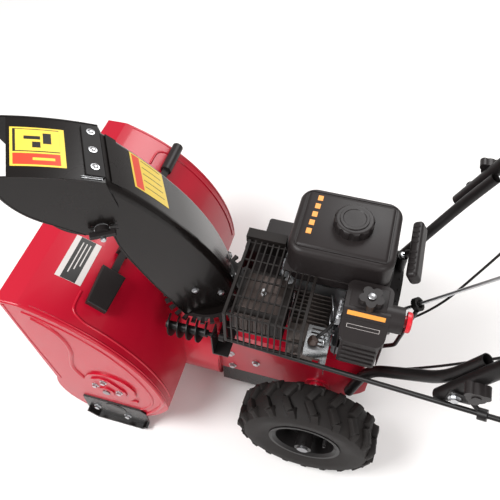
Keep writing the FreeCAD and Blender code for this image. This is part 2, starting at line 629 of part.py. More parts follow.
def control_panel():
    """Folded sheet between the handles with the gear selector's slot and the selector's pivot lug."""
    tray = box(-233.6, 233.6, 1098, 1206, 905, 935)
    tray = tray.cut(box(-230, 230, 1101, 1203, 900, 932))
    tray = tray.cut(box(-7, 7, 1040, 1190, 900, 960))
    lug = box(9, 12, 1070, 1126, SHIFT_PIVOT.z - 12, 934)
    lug = lug.fuse(disc_x(SHIFT_PIVOT.y, SHIFT_PIVOT.z, 4, -9, 12))
    return tray.fuse([lug, box(9, 12, 1096, 1126, 900, 934)]).removeSplitter()


save("control_panel", control_panel())
top_of_lever = V(0, 1150, 1010)
shift = rod(SHIFT_PIVOT, top_of_lever, 5).fuse(rod(SHIFT_PIVOT, ROD_TOP, 5))
shift = shift.fuse([Part.makeSphere(17, top_of_lever), disc_x(SHIFT_PIVOT.y, SHIFT_PIVOT.z, 10, -8, 8)])
shift = shift.fuse(disc_x(ROD_TOP.y, ROD_TOP.z, 8, -6, 4))
save("shift_lever", shift.cut(disc_x(SHIFT_PIVOT.y, SHIFT_PIVOT.z, 4 + CLEAR, -20, 20)).removeSplitter())
rod_eye = V(10.2, ROD_TOP.y, ROD_TOP.z)
rod_foot = rod_eye - SLIDE * 462
shift_rod = rod(rod_foot, rod_eye, 4).fuse(disc_x(ROD_TOP.y, ROD_TOP.z, 8, 5.4, 14))
save("shift_rod", shift_rod.removeSplitter())


def star_knob(radius, tall, lobes=5):
    """A clamping knob with rounded lobes, drawn upwards from its seat."""
    body = Part.makeCylinder(radius * 0.72, tall)
    for lobe in range(lobes):
        a = 2 * pi * lobe / lobes
        body = body.fuse(Part.makeCylinder(radius * 0.38, tall, V(radius * 0.62 * cos(a), radius * 0.62 * sin(a), 0)))
    body = body.removeSplitter()
    return body.fuse(Part.makeCylinder(radius * 0.34, tall + 2))


def laid_out(shape, place, out):
    """Turn a piece drawn upwards so that it points outwards from its place."""
    shape.rotate(V(0, 0, 0), V(0, 0, 1).cross(out) if abs(out.z) < 0.999 else V(1, 0, 0),
                 degrees(V(0, 0, 1).getAngle(out)))
    shape.translate(place)
    return shape


KNOB_AT = V(UPPER[0].x + UPPER_R + 0.6, 985, 607)
knob = laid_out(star_knob(24, 22, 3), KNOB_AT, V(1, 0, 0))
save("handle_knob_left", knob)
save("handle_knob_right", mirrored(knob))


def rod_brackets():
    """Worm's bearing plate on the frame, the crank rod's eye on the left handle, the shift rod's guide."""
    plate = box(152, WORM_X + 15, 472, 475, 317, RING_Z + 16)
    foot = box(96, WORM_X + 15, 472, 510, FRAME_TOP + 0.1, 317)
    front = plate.fuse(foot).cut(disc_y(WORM_X, RING_Z, 5 + CLEAR, 460, 490)).removeSplitter()
    eye = rod(EYE - RUN * 8, EYE + RUN * 8, 11)
    stay = rod(V(268, 986, 562), EYE, 4.5).fuse(box(264.3, 267.3, 948, 992, 542, 572))
    eye = eye.fuse(stay).cut(rod(EYE - RUN * 45, EYE + RUN * 45, 5 + CLEAR)).removeSplitter()
    guide_at = V(10.2, ROD_TOP.y, ROD_TOP.z) - SLIDE * 425
    post = bent_bar([V(26, 839, 240), V(26, 878, 270), V(26, guide_at.y, guide_at.z)], 5, bend=20)
    guide = rod(guide_at - SLIDE * 6, guide_at + SLIDE * 6, 16).fuse([post, box(14, 38, 834.2, 840, 226, 252)])
    return front, eye, guide.cut(rod(guide_at - SLIDE * 20, guide_at + SLIDE * 20, 10)).removeSplitter()


BRACKETS = rod_brackets()
save("rod_brackets", *BRACKETS)

# ---- engine -------------------------------------------------------------------------------------
BLOCK_FRONT, BLOCK_BACK = 596.0, 752.0
crank = disc_y(0, CRANK_Z, 12, BELT_Y - 12, 846).fuse(disc_y(0, CRANK_Z, 40, 640, 652))
crank = crank.fuse([disc_y(0, CRANK_Z, 40, 690, 702), disc_y(0, CRANK_Z, 88, 782, 800)])
save("crankshaft", crank.removeSplitter())


def crankcase():
    """Block with its PTO boss and foot; the oil drain pipe and the dipstick are separate solids."""
    block = rounded(box(-92, 66, BLOCK_FRONT, BLOCK_BACK, FRAME_TOP + 0.2, 508), 14, upright)
    boss = disc_y(0, CRANK_Z, 46, BLOCK_FRONT - 8, BLOCK_FRONT + 4)
    block = block.fuse(boss).cut(disc_y(0, CRANK_Z, 46, 622, 724))
    block = block.cut(disc_y(0, CRANK_Z, 12 + CLEAR, 500, 900)).removeSplitter()
    drain = bent_bar([V(66.2, 719, 336), V(112, 719, 336), V(150, 719, 318)], 8, bend=22)
    stick = disc_x(BLOCK_BACK - 26, 372, 12, 66.2, 92)
    return block, drain, stick


def cylinder():
    """Cylinder and head, square cooling fins round a barrel that points to the machine's left."""
    barrel = disc_x(676, 440, 34, 66.4, 176)
    fins = [barrel, box(150, 186, 640, 712, 404, 476), box(186.0, 197.5, 652, 700, 412, 468)]
    for fin in range(8):
        x = 74 + fin * 9.6
        fins.append(rounded(box(x, x + 2.4, 634, 718, 396, 484), 8, lambda e: e.BoundBox.XLength > 2))
    return barrel.fuse(fins).removeSplitter()


save("crankcase", *crankcase())
save("cylinder_head", cylinder())


RECOIL_R = 104.0
PULL = V(-32, 838, 549)      # where the starter rope leaves its eyelet


def recoil_housing():
    """Blower housing over the flywheel and the dished recoil starter on its back."""
    drum = disc_y(0, CRANK_Z, RECOIL_R, BLOCK_BACK + 4, 826)
    dish = Part.makeCone(90, 78, 24, V(0, 826, CRANK_Z), V(0, 1, 0))
    shell = drum.fuse([dish, rod(V(PULL.x, 838, 480), V(PULL.x, 838, PULL.z - 7), 11)])
    shell = shell.cut(disc_y(0, CRANK_Z, 94, BLOCK_BACK, 822)).cut(disc_y(0, CRANK_Z, 70, 820, 846))
    return shell.removeSplitter()


save("recoil_housing", recoil_housing())
TANK = (-104.0, 74.0, 604.0, 819.0, 524.0, 619.5)


def tank():
    body = rounded(box(*TANK[:4], TANK[4], TANK[5]), 34, upright)
    body = rounded(body, 12, lambda e: e.BoundBox.ZMin > TANK[5] - 1)
    feet = box(-88, 56, 640, 748, 508.2, TANK[4] + 4)
    hollow = box(TANK[0] + 12, TANK[1] - 12, TANK[2] + 12, TANK[3] - 12, TANK[4] + 3, TANK[5] - 6)
    hollow = hollow.fuse(Part.makeCylinder(27, 40, V(-17, 724, TANK[5] - 30)))
    return body.fuse(feet).cut(hollow).removeSplitter()


save("fuel_tank", tank())
CAP = V(-17, 724, TANK[5] + 0.3)
cap = rounded(Part.makeCylinder(41, 24), 6, lambda e: e.BoundBox.ZMin > 23)
for notch in range(12):
    cut = Part.makeCylinder(7, 20, V(45 * cos(notch * pi / 6), 45 * sin(notch * pi / 6), 3))
    cap = cap.cut(cut)
cap.translate(CAP)
save("fuel_cap", cap)
MUFFLER = (72.0, 186.0, 524.0, 630.0, 440.0, 532.0)
save("muffler", rounded(box(*MUFFLER), 18, lambda e: e.BoundBox.YLength > 60))
GUARD = (22.0, 213.0, 514.0, 676.0, 446.0, 555.0)


def muffler_guard():
    """Welded wire and strip cage over the muffler: top bars, cross bars and uprights on the near side."""
    x0, x1, y0, y1, z0, z1 = GUARD
    bars = []
    for step in range(13):
        y = y0 + 4 + (y1 - y0 - 8) * step / 12
        bars.append(box(x0 if y < TANK[2] - 8 else TANK[1] + 4, x1, y - 1.5, y + 1.5, z1 - 3, z1))
        bars.append(box(x1 - 3, x1, y - 1.5, y + 1.5, z0, z1))
    for step in range(5):
        x = x0 + 4 + (x1 - x0 - 8) * step / 4
        bars.append(box(x - 1.5, x + 1.5, y0, y1 if x > TANK[1] + 6 else TANK[2] - 4, z1 - 6, z1 - 3))
    for z in (z0, z0 + 52):
        bars.append(box(x1 - 6, x1 - 3, y0, y1, z, z + 3))
    for y, x in ((y0, x0), (y1 - 6, TANK[1] + 4)):
        bars.append(box(x, x1, y, y + 6, z1 - 12, z1))
        bars.append(box(x1 - 8, x1, y, y + 6, z0, z1))
        bars.append(box(x, x + 8, y, y + 6, 533, z1))
    return bars[0].fuse(bars[1:]).removeSplitter()


save("muffler_guard", muffler_guard())
shield = box(-6, -3, 508, 594, 480, 559).fuse(box(-6, 18, 508, 594, 556, 559)).fuse(box(15, 18, 508, 594, 540, 559))
shroud = box(120, 207.5, 726, 728, 392, 488).fuse(box(152, 207.5, 680, 728, 486, 488))
shroud = shroud.fuse(box(205.5, 207.5, 680, 728, 456, 488)).cut(Part.makeCylinder(9, 40, V(190, 696, 470)))
for slot in range(5):
    shroud = shroud.cut(box(158 + slot * 9, 162 + slot * 9, 688, 720, 480, 495))
save("engine_shields", shield.removeSplitter(), shroud.removeSplitter())
save("carburettor", rounded(box(112, 160, 732, 790, 405, 436), 8, upright).fuse(disc_y(136, 420, 15, 729, 732)))
BOX = (78.0, 190.0, 740.0, 830.0, 437.0, 574.0)


def carb_cover():
    """Air box and cold-weather cover over the carburettor, with the round boss of the stop button."""
    x0, x1, y0, y1, z0, z1 = BOX
    body = plate_x([(y0, z0), (y1, z0), (y1, z1), (y0, z1)], x0, x1)
    body = rounded(body, 16, upright)
    slope = Part.Face(Part.makePolygon([V(x1 + 1, y0 - 1, z1 + 1), V(x1 - 46, y0 - 1, z1 + 1), V(x1 + 1, y0 - 1, z1 - 52),
                                        V(x1 + 1, y0 - 1, z1 + 1)])).extrude(V(0, y1 - y0 + 2, 0))
    body = body.cut(slope)
    boss = disc_y(132, 548, 27, y1 - 10, y1 + 26)
    body = body.cut(box(x0 + 3, x1 - 3, y0 + 3, y1 - 3, z0 - 1, z1 - 58))
    body = body.fuse(boss).cut(disc_y(132, 548, 12, y1 + 10, y1 + 30))
    body = body.cut(disc_y(0, CRANK_Z, RECOIL_R + 1, y0 - 5, y1 + 1))
    return body.removeSplitter()


save("carb_cover", carb_cover())
save("air_box_knob", laid_out(star_knob(25, 18), V(122, 788, BOX[5] + 0.3), V(0, 0, 1)))
button = disc_y(132, 548, 11.6, BOX[3] + 15, BOX[3] + 36).fuse(disc_y(132, 548, 21, BOX[3] + 32, BOX[3] + 42))
save("stop_button", rounded(button.removeSplitter(), 4, lambda e: e.BoundBox.YMin > BOX[3] + 41))
pull_out = V(0, 0.86, 0.51)
grip = rounded(box(-74, 74, -18, 18, -12, 12), 9)
grip.rotate(V(0, 0, 0), V(1, 0, 0), -degrees(acos(0.51)))
grip.translate(PULL + pull_out * 28)
save("starter_grip", grip.fuse(rod(PULL + pull_out * 4, PULL + pull_out * 24, 7)).removeSplitter())

# ---- fasteners, cables and the clean-out tool ---------------------------------------------------
bolts = []
for sign in (1, -1):
    face = sign * HOUSE_HALF
    side = V(sign, 0, 0)
    for y, z in ((203, 211), (230, 240), (264, 201)):
        bolts.append(bolt(V(sign * (HOUSE_HALF + 9.1), y, z), side))
    for y, z in ((171, 50), (255, 40)):
        bolts.append(bolt(V(sign * (HOUSE_HALF + 5.6), y, z), side, 7, 5.5))
    for y, z in ((495, 216), (498, 152), (560, 196)):
        bolts.append(bolt(V(sign * (FRAME_HALF + 0.1), y, z), side, 7))
    seat = ELBOW.x + UPPER_R + (5.4 if sign > 0 else 2.2)
    bolts.append(bolt(V(sign * seat, ELBOW.y, ELBOW.z), side, 8, 6))
for x, y in ((136, 578), (88, 620)):
    bolts.append(bolt(V(x, y, 532.2), V(0, 0, 1), 6, 5))
save("steel_bolts", *bolts)
TOOL_LEAN = -36.0            # the housing slopes this much where the tool lies


def clean_out_tool():
    """Chute clearing tool lying on the housing's back: T grip, square bar, blade and two clips."""
    bar = box(-200, 132, -8, 8, 8, 20).fuse(disc_x(0, 14, 14, -286, -196))
    taper = Part.makePolygon([V(130, -29, 9), V(226, -24, 9), V(226, 24, 9), V(130, 29, 9), V(130, -29, 9)])
    blade = rounded(Part.Face(taper).extrude(V(0, 0, 14)), 3, lambda e: e.BoundBox.ZMin > 22)
    tool = bar.fuse(blade).removeSplitter()
    clips = []
    for x in (-60, 70):
        clip = box(x - 9, x + 9, -14, 14, 3, 24).cut(box(x - 10, x + 10, -8.2, 8.2, 7.8, 30))
        clips.append(clip)
    shapes = [tool] + clips
    for shape in shapes:
        shape.rotate(V(0, 0, 0), V(1, 0, 0), TOOL_LEAN)
        shape.translate(V(0, 224, 460))
    return shapes


save("clean_out_tool", *clean_out_tool())
cables = []
for route in ([V(-60, 836, 170), V(-80, 960, 300), V(-150, 1080, 560), V(-216, 1150, 800), V(-238, 1196, 900)],
              [V(60, 836, 170), V(80, 960, 300), V(150, 1080, 560), V(216, 1150, 800), V(238, 1196, 900)]):
    cables.append(bent_bar(route, 3))
cables.append(bent_bar([V(190, 696, 477), V(190, 698, 503), V(178, 716, 521), V(142, 733, 517), V(104, 734, 500)], 3.5))
save("control_cables", *cables)
print(len(SAVED), "nodes")
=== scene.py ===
# %% [markdown]
# # A walk-behind snow blower
# The frame comes from the CAD model: every node is already in place and in metres. This file gives each
# surface its finish and adds the pieces that mesh work does better than CAD: tyre lugs, ribs, beads, seams.
# %% Load the frame
from math import atan2, cos, pi, radians, sin, sqrt

import bmesh
import bpy
from mathutils import Matrix, Vector


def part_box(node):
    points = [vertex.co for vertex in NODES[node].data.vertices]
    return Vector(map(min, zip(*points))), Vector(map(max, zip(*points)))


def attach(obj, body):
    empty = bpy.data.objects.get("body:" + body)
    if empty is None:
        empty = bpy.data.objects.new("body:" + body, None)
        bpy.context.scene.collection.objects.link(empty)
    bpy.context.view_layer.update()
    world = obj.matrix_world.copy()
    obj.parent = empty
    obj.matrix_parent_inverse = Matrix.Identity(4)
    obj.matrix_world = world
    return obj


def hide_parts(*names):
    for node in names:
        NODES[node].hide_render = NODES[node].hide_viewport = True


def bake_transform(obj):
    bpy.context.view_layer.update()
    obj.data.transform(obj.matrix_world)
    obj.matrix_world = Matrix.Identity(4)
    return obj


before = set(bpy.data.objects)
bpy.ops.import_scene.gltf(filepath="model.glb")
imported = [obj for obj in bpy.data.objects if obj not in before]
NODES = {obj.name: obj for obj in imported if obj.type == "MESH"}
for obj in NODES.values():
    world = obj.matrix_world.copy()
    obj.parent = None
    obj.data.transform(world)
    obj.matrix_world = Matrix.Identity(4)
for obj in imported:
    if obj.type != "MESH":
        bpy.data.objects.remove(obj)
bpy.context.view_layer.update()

MM = 0.001
UP, REARWARD = (0, 0, 1), (0, 1, 0)

# %% [markdown]
# ## The place to look from
# The machine is seen from above, behind its left wheel, about a metre and a half off the floor. A lens a
# little longer than normal keeps the housing and the handles in proportion.
# %% Camera
EYE = Vector((0.7653, -0.0126, 1.5446))
SENSOR_WIDE = 36.0
EYE_TO_PICTURE, HALF_PICTURE = 0.5892, 0.5
TURN, TILT, ROLL = radians(106.293), radians(53.014), radians(-0.608)
back = Vector((sin(TURN) * cos(TILT), -cos(TURN) * cos(TILT), sin(TILT)))
right = Vector(UP).cross(back).normalized()
up = back.cross(right)
side = right * cos(ROLL) + up * sin(ROLL)
rise = up * cos(ROLL) - right * sin(ROLL)
camera = bpy.data.objects.new("camera", bpy.data.cameras.new("camera"))
bpy.context.scene.collection.objects.link(camera)
camera.matrix_world = Matrix.Translation(EYE) @ Matrix((side, rise, back)).transposed().to_4x4()
camera.data.sensor_width = SENSOR_WIDE
camera.data.lens = EYE_TO_PICTURE * SENSOR_WIDE / HALF_PICTURE
camera.data.clip_end = 60.0
bpy.context.scene.camera = camera
bpy.context.scene.view_settings.view_transform = "Standard"
print("lens", round(camera.data.lens, 2), "mm")

# %% [markdown]
# ## Colour and shader helpers
# Paint makers give colours as hex codes on a screen, and shaders want them linear, so one function turns
# one into the other. A second one adds a shader node with its settings and its links in one line.
# %% Helpers for materials
def tint(code):
    """An sRGB hex colour as the linear colour that a shader takes."""
    parts = [int(code[k:k + 2], 16) / 255 for k in (1, 3, 5)]
    return [p / 12.92 if p <= 0.04045 else ((p + 0.055) / 1.055) ** 2.4 for p in parts] + [1.0]


def add(tree, kind, inputs=None, **settings):
    """A shader node: settings are its own options, inputs are numbers or the sockets that feed it."""
    made = tree.nodes.new("ShaderNode" + kind)
    for name, value in settings.items():
        setattr(made, name, value)
    for name, value in (inputs or {}).items():
        if isinstance(value, bpy.types.NodeSocket):
            tree.links.new(value, made.inputs[name])
        else:
            made.inputs[name].default_value = value
    return made


def surface(name, colour, other, patch_mm, grain_mm, depth_mm, rough, **sockets):
    """A finish with a slow change of tone over patch_mm and a fine relief of grain_mm, depth_mm deep."""
    material = bpy.data.materials.new(name)
    material.use_nodes = True
    tree = material.node_tree
    shader = tree.nodes["Principled BSDF"]
    place = add(tree, "TexCoord").outputs["Object"]
    patches = add(tree, "TexNoise", {"Vector": place, "Scale": 1 / (patch_mm * MM), "Detail": 4.0})
    mixed = add(tree, "Mix", {"Factor": patches.outputs["Fac"]}, data_type="RGBA")
    mixed.inputs[6].default_value = tint(colour)
    mixed.inputs[7].default_value = tint(other)
    tree.links.new(mixed.outputs[2], shader.inputs["Base Color"])
    grain = add(tree, "TexNoise", {"Vector": place, "Scale": 1 / (grain_mm * MM), "Detail": 2.0})
    relief = add(tree, "Bump", {"Height": grain.outputs["Fac"], "Distance": depth_mm * MM, "Strength": 1.0})
    tree.links.new(relief.outputs["Normal"], shader.inputs["Normal"])
    spread = add(tree, "MapRange", {"Value": patches.outputs["Fac"], "To Min": rough[0], "To Max": rough[1]})
    tree.links.new(spread.outputs["Result"], shader.inputs["Roughness"])
    for socket, value in sockets.items():
        shader.inputs[socket.replace("_", " ")].default_value = value
    return material

# %% [markdown]
# ## Enamel, powder coat and bare metal
# The housing, frame and chute are sheet steel with a baked gloss enamel: it mirrors the room under a clear
# top layer, and a faint orange peel bends the reflections. The handles have a duller powder coat.
# %% Paints
def red_enamel():
    """Baked gloss enamel on pressed steel: smooth, with a faint orange peel."""
    return surface("red_enamel", "#B80F2B", "#AC0B25", 240, 9, 0.05, (0.3, 0.34), Coat_Weight=0.3,
                   Coat_Roughness=0.08, Specular_IOR_Level=0.35)


def black_enamel():
    """Gloss black enamel on the chute: nearly all of what shows is the reflected room."""
    return surface("black_enamel", "#0F0C0B", "#171312", 200, 8, 0.04, (0.24, 0.3), Coat_Weight=0.12,
                   Coat_Roughness=0.05, Specular_IOR_Level=0.22)


def satin_powder_coat():
    """Powder coat on tube: a fine even pebble that spreads the highlight."""
    return surface("satin_powder_coat", "#121010", "#191717", 90, 1.6, 0.05, (0.36, 0.44),
                   Specular_IOR_Level=0.28)


def stove_black():
    """Heat-proof matt paint on the guard and the muffler."""
    return surface("stove_black", "#161312", "#211C1A", 60, 1.2, 0.08, (0.45, 0.6), Specular_IOR_Level=0.25)


PAINTS = [red_enamel(), black_enamel(), satin_powder_coat(), stove_black()]
print("paints", [paint.name for paint in PAINTS])


# %% Metals
def zinc_plate():
    """Blue-white zinc on bolts and brackets: bright, slightly mottled by the bath."""
    return surface("zinc_plate", "#C9CACB", "#AEB0B4", 9, 0.8, 0.02, (0.22, 0.38), Metallic=1.0)


def turned_steel():
    """Turned shaft steel with a film of oil."""
    return surface("turned_steel", "#9A9A9C", "#86868A", 30, 0.7, 0.03, (0.25, 0.4), Metallic=1.0)


def cast_aluminium():
    """Die-cast aluminium: grey, softly grained, never polished."""
    return surface("cast_aluminium", "#A9ABAD", "#8F9194", 22, 1.5, 0.12, (0.42, 0.6), Metallic=1.0)


def shroud_tin():
    """Galvanised tinplate round the cylinder."""
    return surface("shroud_tin", "#C3C6C8", "#A5A9AC", 16, 3, 0.03, (0.2, 0.36), Metallic=1.0)


def cast_iron():
    """Sand-cast gearbox under dark primer."""
    return surface("cast_iron", "#3A3938", "#2B2A2A", 18, 2.0, 0.3, (0.5, 0.7), Metallic=0.3)


def bronze():
    """Machined tin bronze of the worm wheel."""
    return surface("bronze", "#A87B42", "#8D6434", 14, 1.0, 0.05, (0.3, 0.45), Metallic=1.0)


METALS = [zinc_plate(), turned_steel(), cast_aluminium(), shroud_tin(), cast_iron(), bronze()]
print("metals", [metal.name for metal in METALS])


# %% [markdown]
# ## Plastics and rubber
# The tank, the covers and the knobs are moulded black plastic with a fine spark-eroded texture that kills
# the gloss. Tyres are dull carbon-black rubber, and the grips are softer and greyer.
# %% Plastics and rubber
def moulded_black():
    """Spark-textured polypropylene of the tank and covers."""
    return surface("moulded_black", "#1E1A1A", "#262121", 70, 0.9, 0.09, (0.4, 0.5), Specular_IOR_Level=0.3)


def knob_plastic():
    """Smoother nylon of caps and knobs."""
    return surface("knob_plastic", "#262222", "#1E1B1B", 40, 0.7, 0.05, (0.36, 0.48), Specular_IOR_Level=0.3)


def tyre_rubber():
    """Carbon-black tyre compound, dusty in the grooves."""
    return surface("tyre_rubber", "#151212", "#211D1B", 26, 1.4, 0.16, (0.6, 0.78), Specular_IOR_Level=0.3)


def grip_rubber():
    """Dipped vinyl of grips and cable jackets."""
    return surface("grip_rubber", "#141313", "#1C1A1A", 30, 1.1, 0.06, (0.5, 0.62), Specular_IOR_Level=0.3)


def red_nylon():
    """Glossy red nylon of the stop button."""
    return surface("red_nylon", "#E01E2E", "#D01828", 30, 0.9, 0.03, (0.25, 0.34), IOR=1.5)


SOFT = [moulded_black(), knob_plastic(), tyre_rubber(), grip_rubber(), red_nylon()]
RED, GLOSS, SATIN, STOVE = PAINTS
ZINC, STEEL, ALLOY, TIN, IRON, BRONZE = METALS
MOULDED, KNOB, TYRE, GRIP, BUTTON = SOFT
print("soft", [soft.name for soft in SOFT])

# %% Finishes for the CAD nodes
FINISHES = {
    RED: "housing_wrap housing_sides impeller_drum impeller frame_box shaft_bearings",
    GLOSS: "chute deflector skid_shoes scraper_bar auger_left auger_right bottom_cover",
    SATIN: "lower_handles upper_handles control_panel rod_brackets wheel_rims clutch_lever_left"
           " clutch_lever_right shift_lever crank_rod chute_worm recoil_housing",
    STOVE: "muffler_guard muffler",
    ZINC: "steel_bolts shift_rod",
    STEEL: "auger_shaft impeller_shaft impeller_pulley engine_pulleys crankshaft axle friction_disc",
    ALLOY: "cylinder_head carburettor crankcase",
    TIN: "engine_shields",
    IRON: "auger_gearbox",
    BRONZE: "worm_wheel",
    MOULDED: "belt_cover fuel_tank carb_cover chute_ring clean_out_tool",
    KNOB: "fuel_cap air_box_knob deflector_knob handle_knob_left handle_knob_right crank_knob starter_grip",
    TYRE: "tyres",
    GRIP: "drive_belts friction_wheel deflector_hinge handle_grips control_cables",
    BUTTON: "stop_button",
}
for material, names in FINISHES.items():
    for name in names.split():
        mesh = NODES[name].data
        mesh.materials.clear()
        mesh.materials.append(material)
print("finished", sum(len(names.split()) for names in FINISHES.values()), "of", len(NODES), "nodes")

# %% [markdown]
# ## Making a piece
# Each new piece starts as a bmesh. One function turns it into an object at the origin, smooths it where its
# faces meet gently, gives it a finish and lets it ride on the CAD body that it belongs to.
# %% Helpers for shapes
def piece(name, shape, body, material, soft_angle=38):
    """A finished bmesh as an object that rides on a body."""
    bmesh.ops.recalc_face_normals(shape, faces=shape.faces)
    for face in shape.faces:
        face.smooth = True
    for edge in shape.edges:
        edge.smooth = edge.is_manifold and edge.calc_face_angle(0) < radians(soft_angle)
    mesh = bpy.data.meshes.new(name)
    shape.to_mesh(mesh)
    shape.free()
    mesh.materials.append(material)
    made = bpy.data.objects.new(name, mesh)
    bpy.context.scene.collection.objects.link(made)
    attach(made, body)
    return made


def block(shape, low, high, rounding, steps):
    """A box between two corners added to a bmesh, with rounded edges. It hands back the box's corners."""
    low, high = Vector(low), Vector(high)
    verts = bmesh.ops.create_cube(shape, size=1.0)["verts"]
    bmesh.ops.scale(shape, vec=high - low, verts=verts)
    bmesh.ops.translate(shape, vec=(low + high) / 2, verts=verts)
    edges = list({edge for vert in verts for edge in vert.link_edges})
    made = bmesh.ops.bevel(shape, geom=edges, offset=rounding, affect="EDGES", segments=steps, profile=0.5,
                           material=-1, offset_type="OFFSET")
    return list({vert for face in made["faces"] for vert in face.verts} | {v for v in verts if v.is_valid})


def turned(shape, outline, centre, axis, steps):
    """Spin an outline of (along, radius) pairs, in metres, round an axis through centre."""
    axis = Vector(axis).normalized()
    across = axis.orthogonal().normalized()
    ring = [shape.verts.new(Vector(centre) + axis * along + across * radius) for along, radius in outline]
    edges = [shape.edges.new(pair) for pair in zip(ring, ring[1:])]
    bmesh.ops.spin(shape, geom=ring + edges, cent=centre, axis=axis, angle=2 * pi, steps=steps, use_merge=True)
    bmesh.ops.remove_doubles(shape, verts=shape.verts[:], dist=1e-6)


def line(name, points, radius, body, material):
    """A bent wire, lead or bead: a smooth curve through given points with a round section."""
    curve = bpy.data.curves.new(name, "CURVE")
    curve.dimensions = "3D"
    curve.bevel_depth = radius
    curve.bevel_resolution = 3
    curve.use_fill_caps = True
    spline = curve.splines.new("NURBS")
    spline.points.add(len(points) - 1)
    for point, place in zip(spline.points, points):
        point.co = (*place, 1.0)
    spline.order_u = 3
    spline.use_endpoint_u = True
    curve.resolution_u = 8
    curve.materials.append(material)
    made = bpy.data.objects.new(name, curve)
    bpy.context.scene.collection.objects.link(made)
    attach(made, body)


# %% [markdown]
# ## Snow tyres
# A snow thrower's tyre has tall rubber chevrons that bite into packed snow. The carcass is an outline spun
# round the axle. One chevron (two slanted arms and two shoulder lugs) is made from bevelled blocks, then
# repeated round the tyre by the same spin operator with its duplicate option.
# %% Tyres
tyre_low, tyre_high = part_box("tyres")
HUB = (Vector(tyre_low) + Vector(tyre_high)) / 2
TREAD_R = (tyre_high[2] - tyre_low[2]) / 2
TYRE_WIDE = 0.096
CHEVRONS = 19
GROOVE = 13 * MM
ARM_SLANT, SHOULDER_SLANT, SHOULDER_LEAN = radians(32), radians(10), radians(52)


def lug(shape, across, along, tall, slant):
    """One rubber block on top of the carcass, above the axle."""
    verts = block(shape, (-across / 2, -along / 2, -tall), (across / 2, along / 2, 0), 2.2 * MM, 2)
    top = [vert for vert in verts if vert.co.z > -tall * 0.4]
    bmesh.ops.scale(shape, vec=(0.86, 0.8, 1), verts=top)
    bmesh.ops.rotate(shape, cent=(0, 0, 0), matrix=Matrix.Rotation(slant, 3, "Z"), verts=verts)
    return verts


def tyre(name, middle_x):
    """One tyre: a spun carcass, and a chevron of lugs repeated round it."""
    shape = bmesh.new()
    half = TYRE_WIDE / 2
    base = TREAD_R - GROOVE
    wall = [(36 * MM, 79 * MM), (39 * MM, 92 * MM), (half - 3 * MM, 112 * MM), (half, 132 * MM),
            (half - 5 * MM, 145 * MM), (half - 18 * MM, base)]
    outline = [(-along, radius) for along, radius in wall] + [(0, base + 3 * MM)] + wall[::-1]
    centre = Vector((middle_x, HUB.y, HUB.z))
    turned(shape, outline, centre, (1, 0, 0), 96)
    carcass = set(shape.verts)
    for sign in (1, -1):
        arm = lug(shape, 40 * MM, 19 * MM, GROOVE + 2 * MM, sign * ARM_SLANT)
        bmesh.ops.translate(shape, vec=centre + Vector((sign * 17 * MM, 0, TREAD_R)), verts=arm)
        rib = lug(shape, 20 * MM, 4 * MM, 4 * MM, sign * ARM_SLANT)
        bmesh.ops.translate(shape, vec=centre + Vector((sign * 17 * MM, 0, TREAD_R + 0.2 * MM)), verts=rib)
        shoulder = lug(shape, 24 * MM, 20 * MM, 16 * MM, sign * SHOULDER_SLANT)
        bmesh.ops.rotate(shape, cent=(0, 0, 0), verts=shoulder,
                         matrix=Matrix.Rotation(sign * SHOULDER_LEAN, 3, "Y"))
        move = centre + Vector((sign * (half - 8 * MM), 13 * MM, TREAD_R - 11 * MM))
        bmesh.ops.translate(shape, vec=move, verts=shoulder)
    lugs = [vert for vert in shape.verts if vert not in carcass]
    faces = list({face for vert in lugs for face in vert.link_faces})
    edges = list({edge for vert in lugs for edge in vert.link_edges})
    bmesh.ops.spin(shape, geom=lugs + edges + faces, cent=centre, axis=(1, 0, 0), use_duplicate=True,
                   angle=2 * pi * (CHEVRONS - 1) / CHEVRONS, steps=CHEVRONS - 1)
    return piece(name, shape, "wheels", TYRE)


left_tyre = tyre("tyre_left", tyre_high[0] - TYRE_WIDE / 2)
right_tyre = tyre("tyre_right", tyre_low[0] + TYRE_WIDE / 2)
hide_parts("tyres")
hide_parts("tyres")
print("tyre", len(left_tyre.data.polygons), "faces, radius", round(TREAD_R, 4))

# %% [markdown]
# ## Where things are
# The machine is drawn in millimetres from the middle of the housing's rear wall. The chute's own frame is
# turned thirty degrees, so its pieces are placed by how far they are across, forward and up.
# %% Places and arcs
DRAWN_BACK = 746.7
CHUTE_AT, CHUTE_AIM = (46, 418), radians(30)
HINGE_AT, KNOB_AT = (158, 836), (184, 732)
WALL_AXIS, WALL_R, HOUSE_HALF = 153, 380, 285
AXLE_AT, AUGER_AT, CRANKSHAFT_Z = (719, 165), (230, 192), 419


def at(x, y, z):
    """A drawn place in millimetres as a point of the frame."""
    return Vector((x, y - DRAWN_BACK, z)) * MM


def aimed(across, forward, z):
    """A place in the chute's own frame."""
    x = across * cos(CHUTE_AIM) + forward * sin(CHUTE_AIM)
    y = across * sin(CHUTE_AIM) - forward * cos(CHUTE_AIM)
    return at(CHUTE_AT[0] + x, CHUTE_AT[1] + y, z)


def arc(first, middle, last, steps):
    """Points and outward normals along the arc through three points of a plane."""
    a, m, b = Vector(first), Vector(middle), Vector(last)
    p, q = m - a, b - a
    det = 2 * (p.x * q.y - p.y * q.x)
    rise, reach = m.dot(m) - a.dot(a), b.dot(b) - a.dot(a)
    centre = Vector(((q.y * rise - p.y * reach) / det, (p.x * reach - q.x * rise) / det))
    span = (a - centre).angle_signed(b - centre)
    made = []
    for step in range(steps + 1):
        arm = (a - centre).copy()
        arm.rotate(Matrix.Rotation(-span * step / steps, 2))
        made.append((centre + arm, arm.normalized()))
    return made


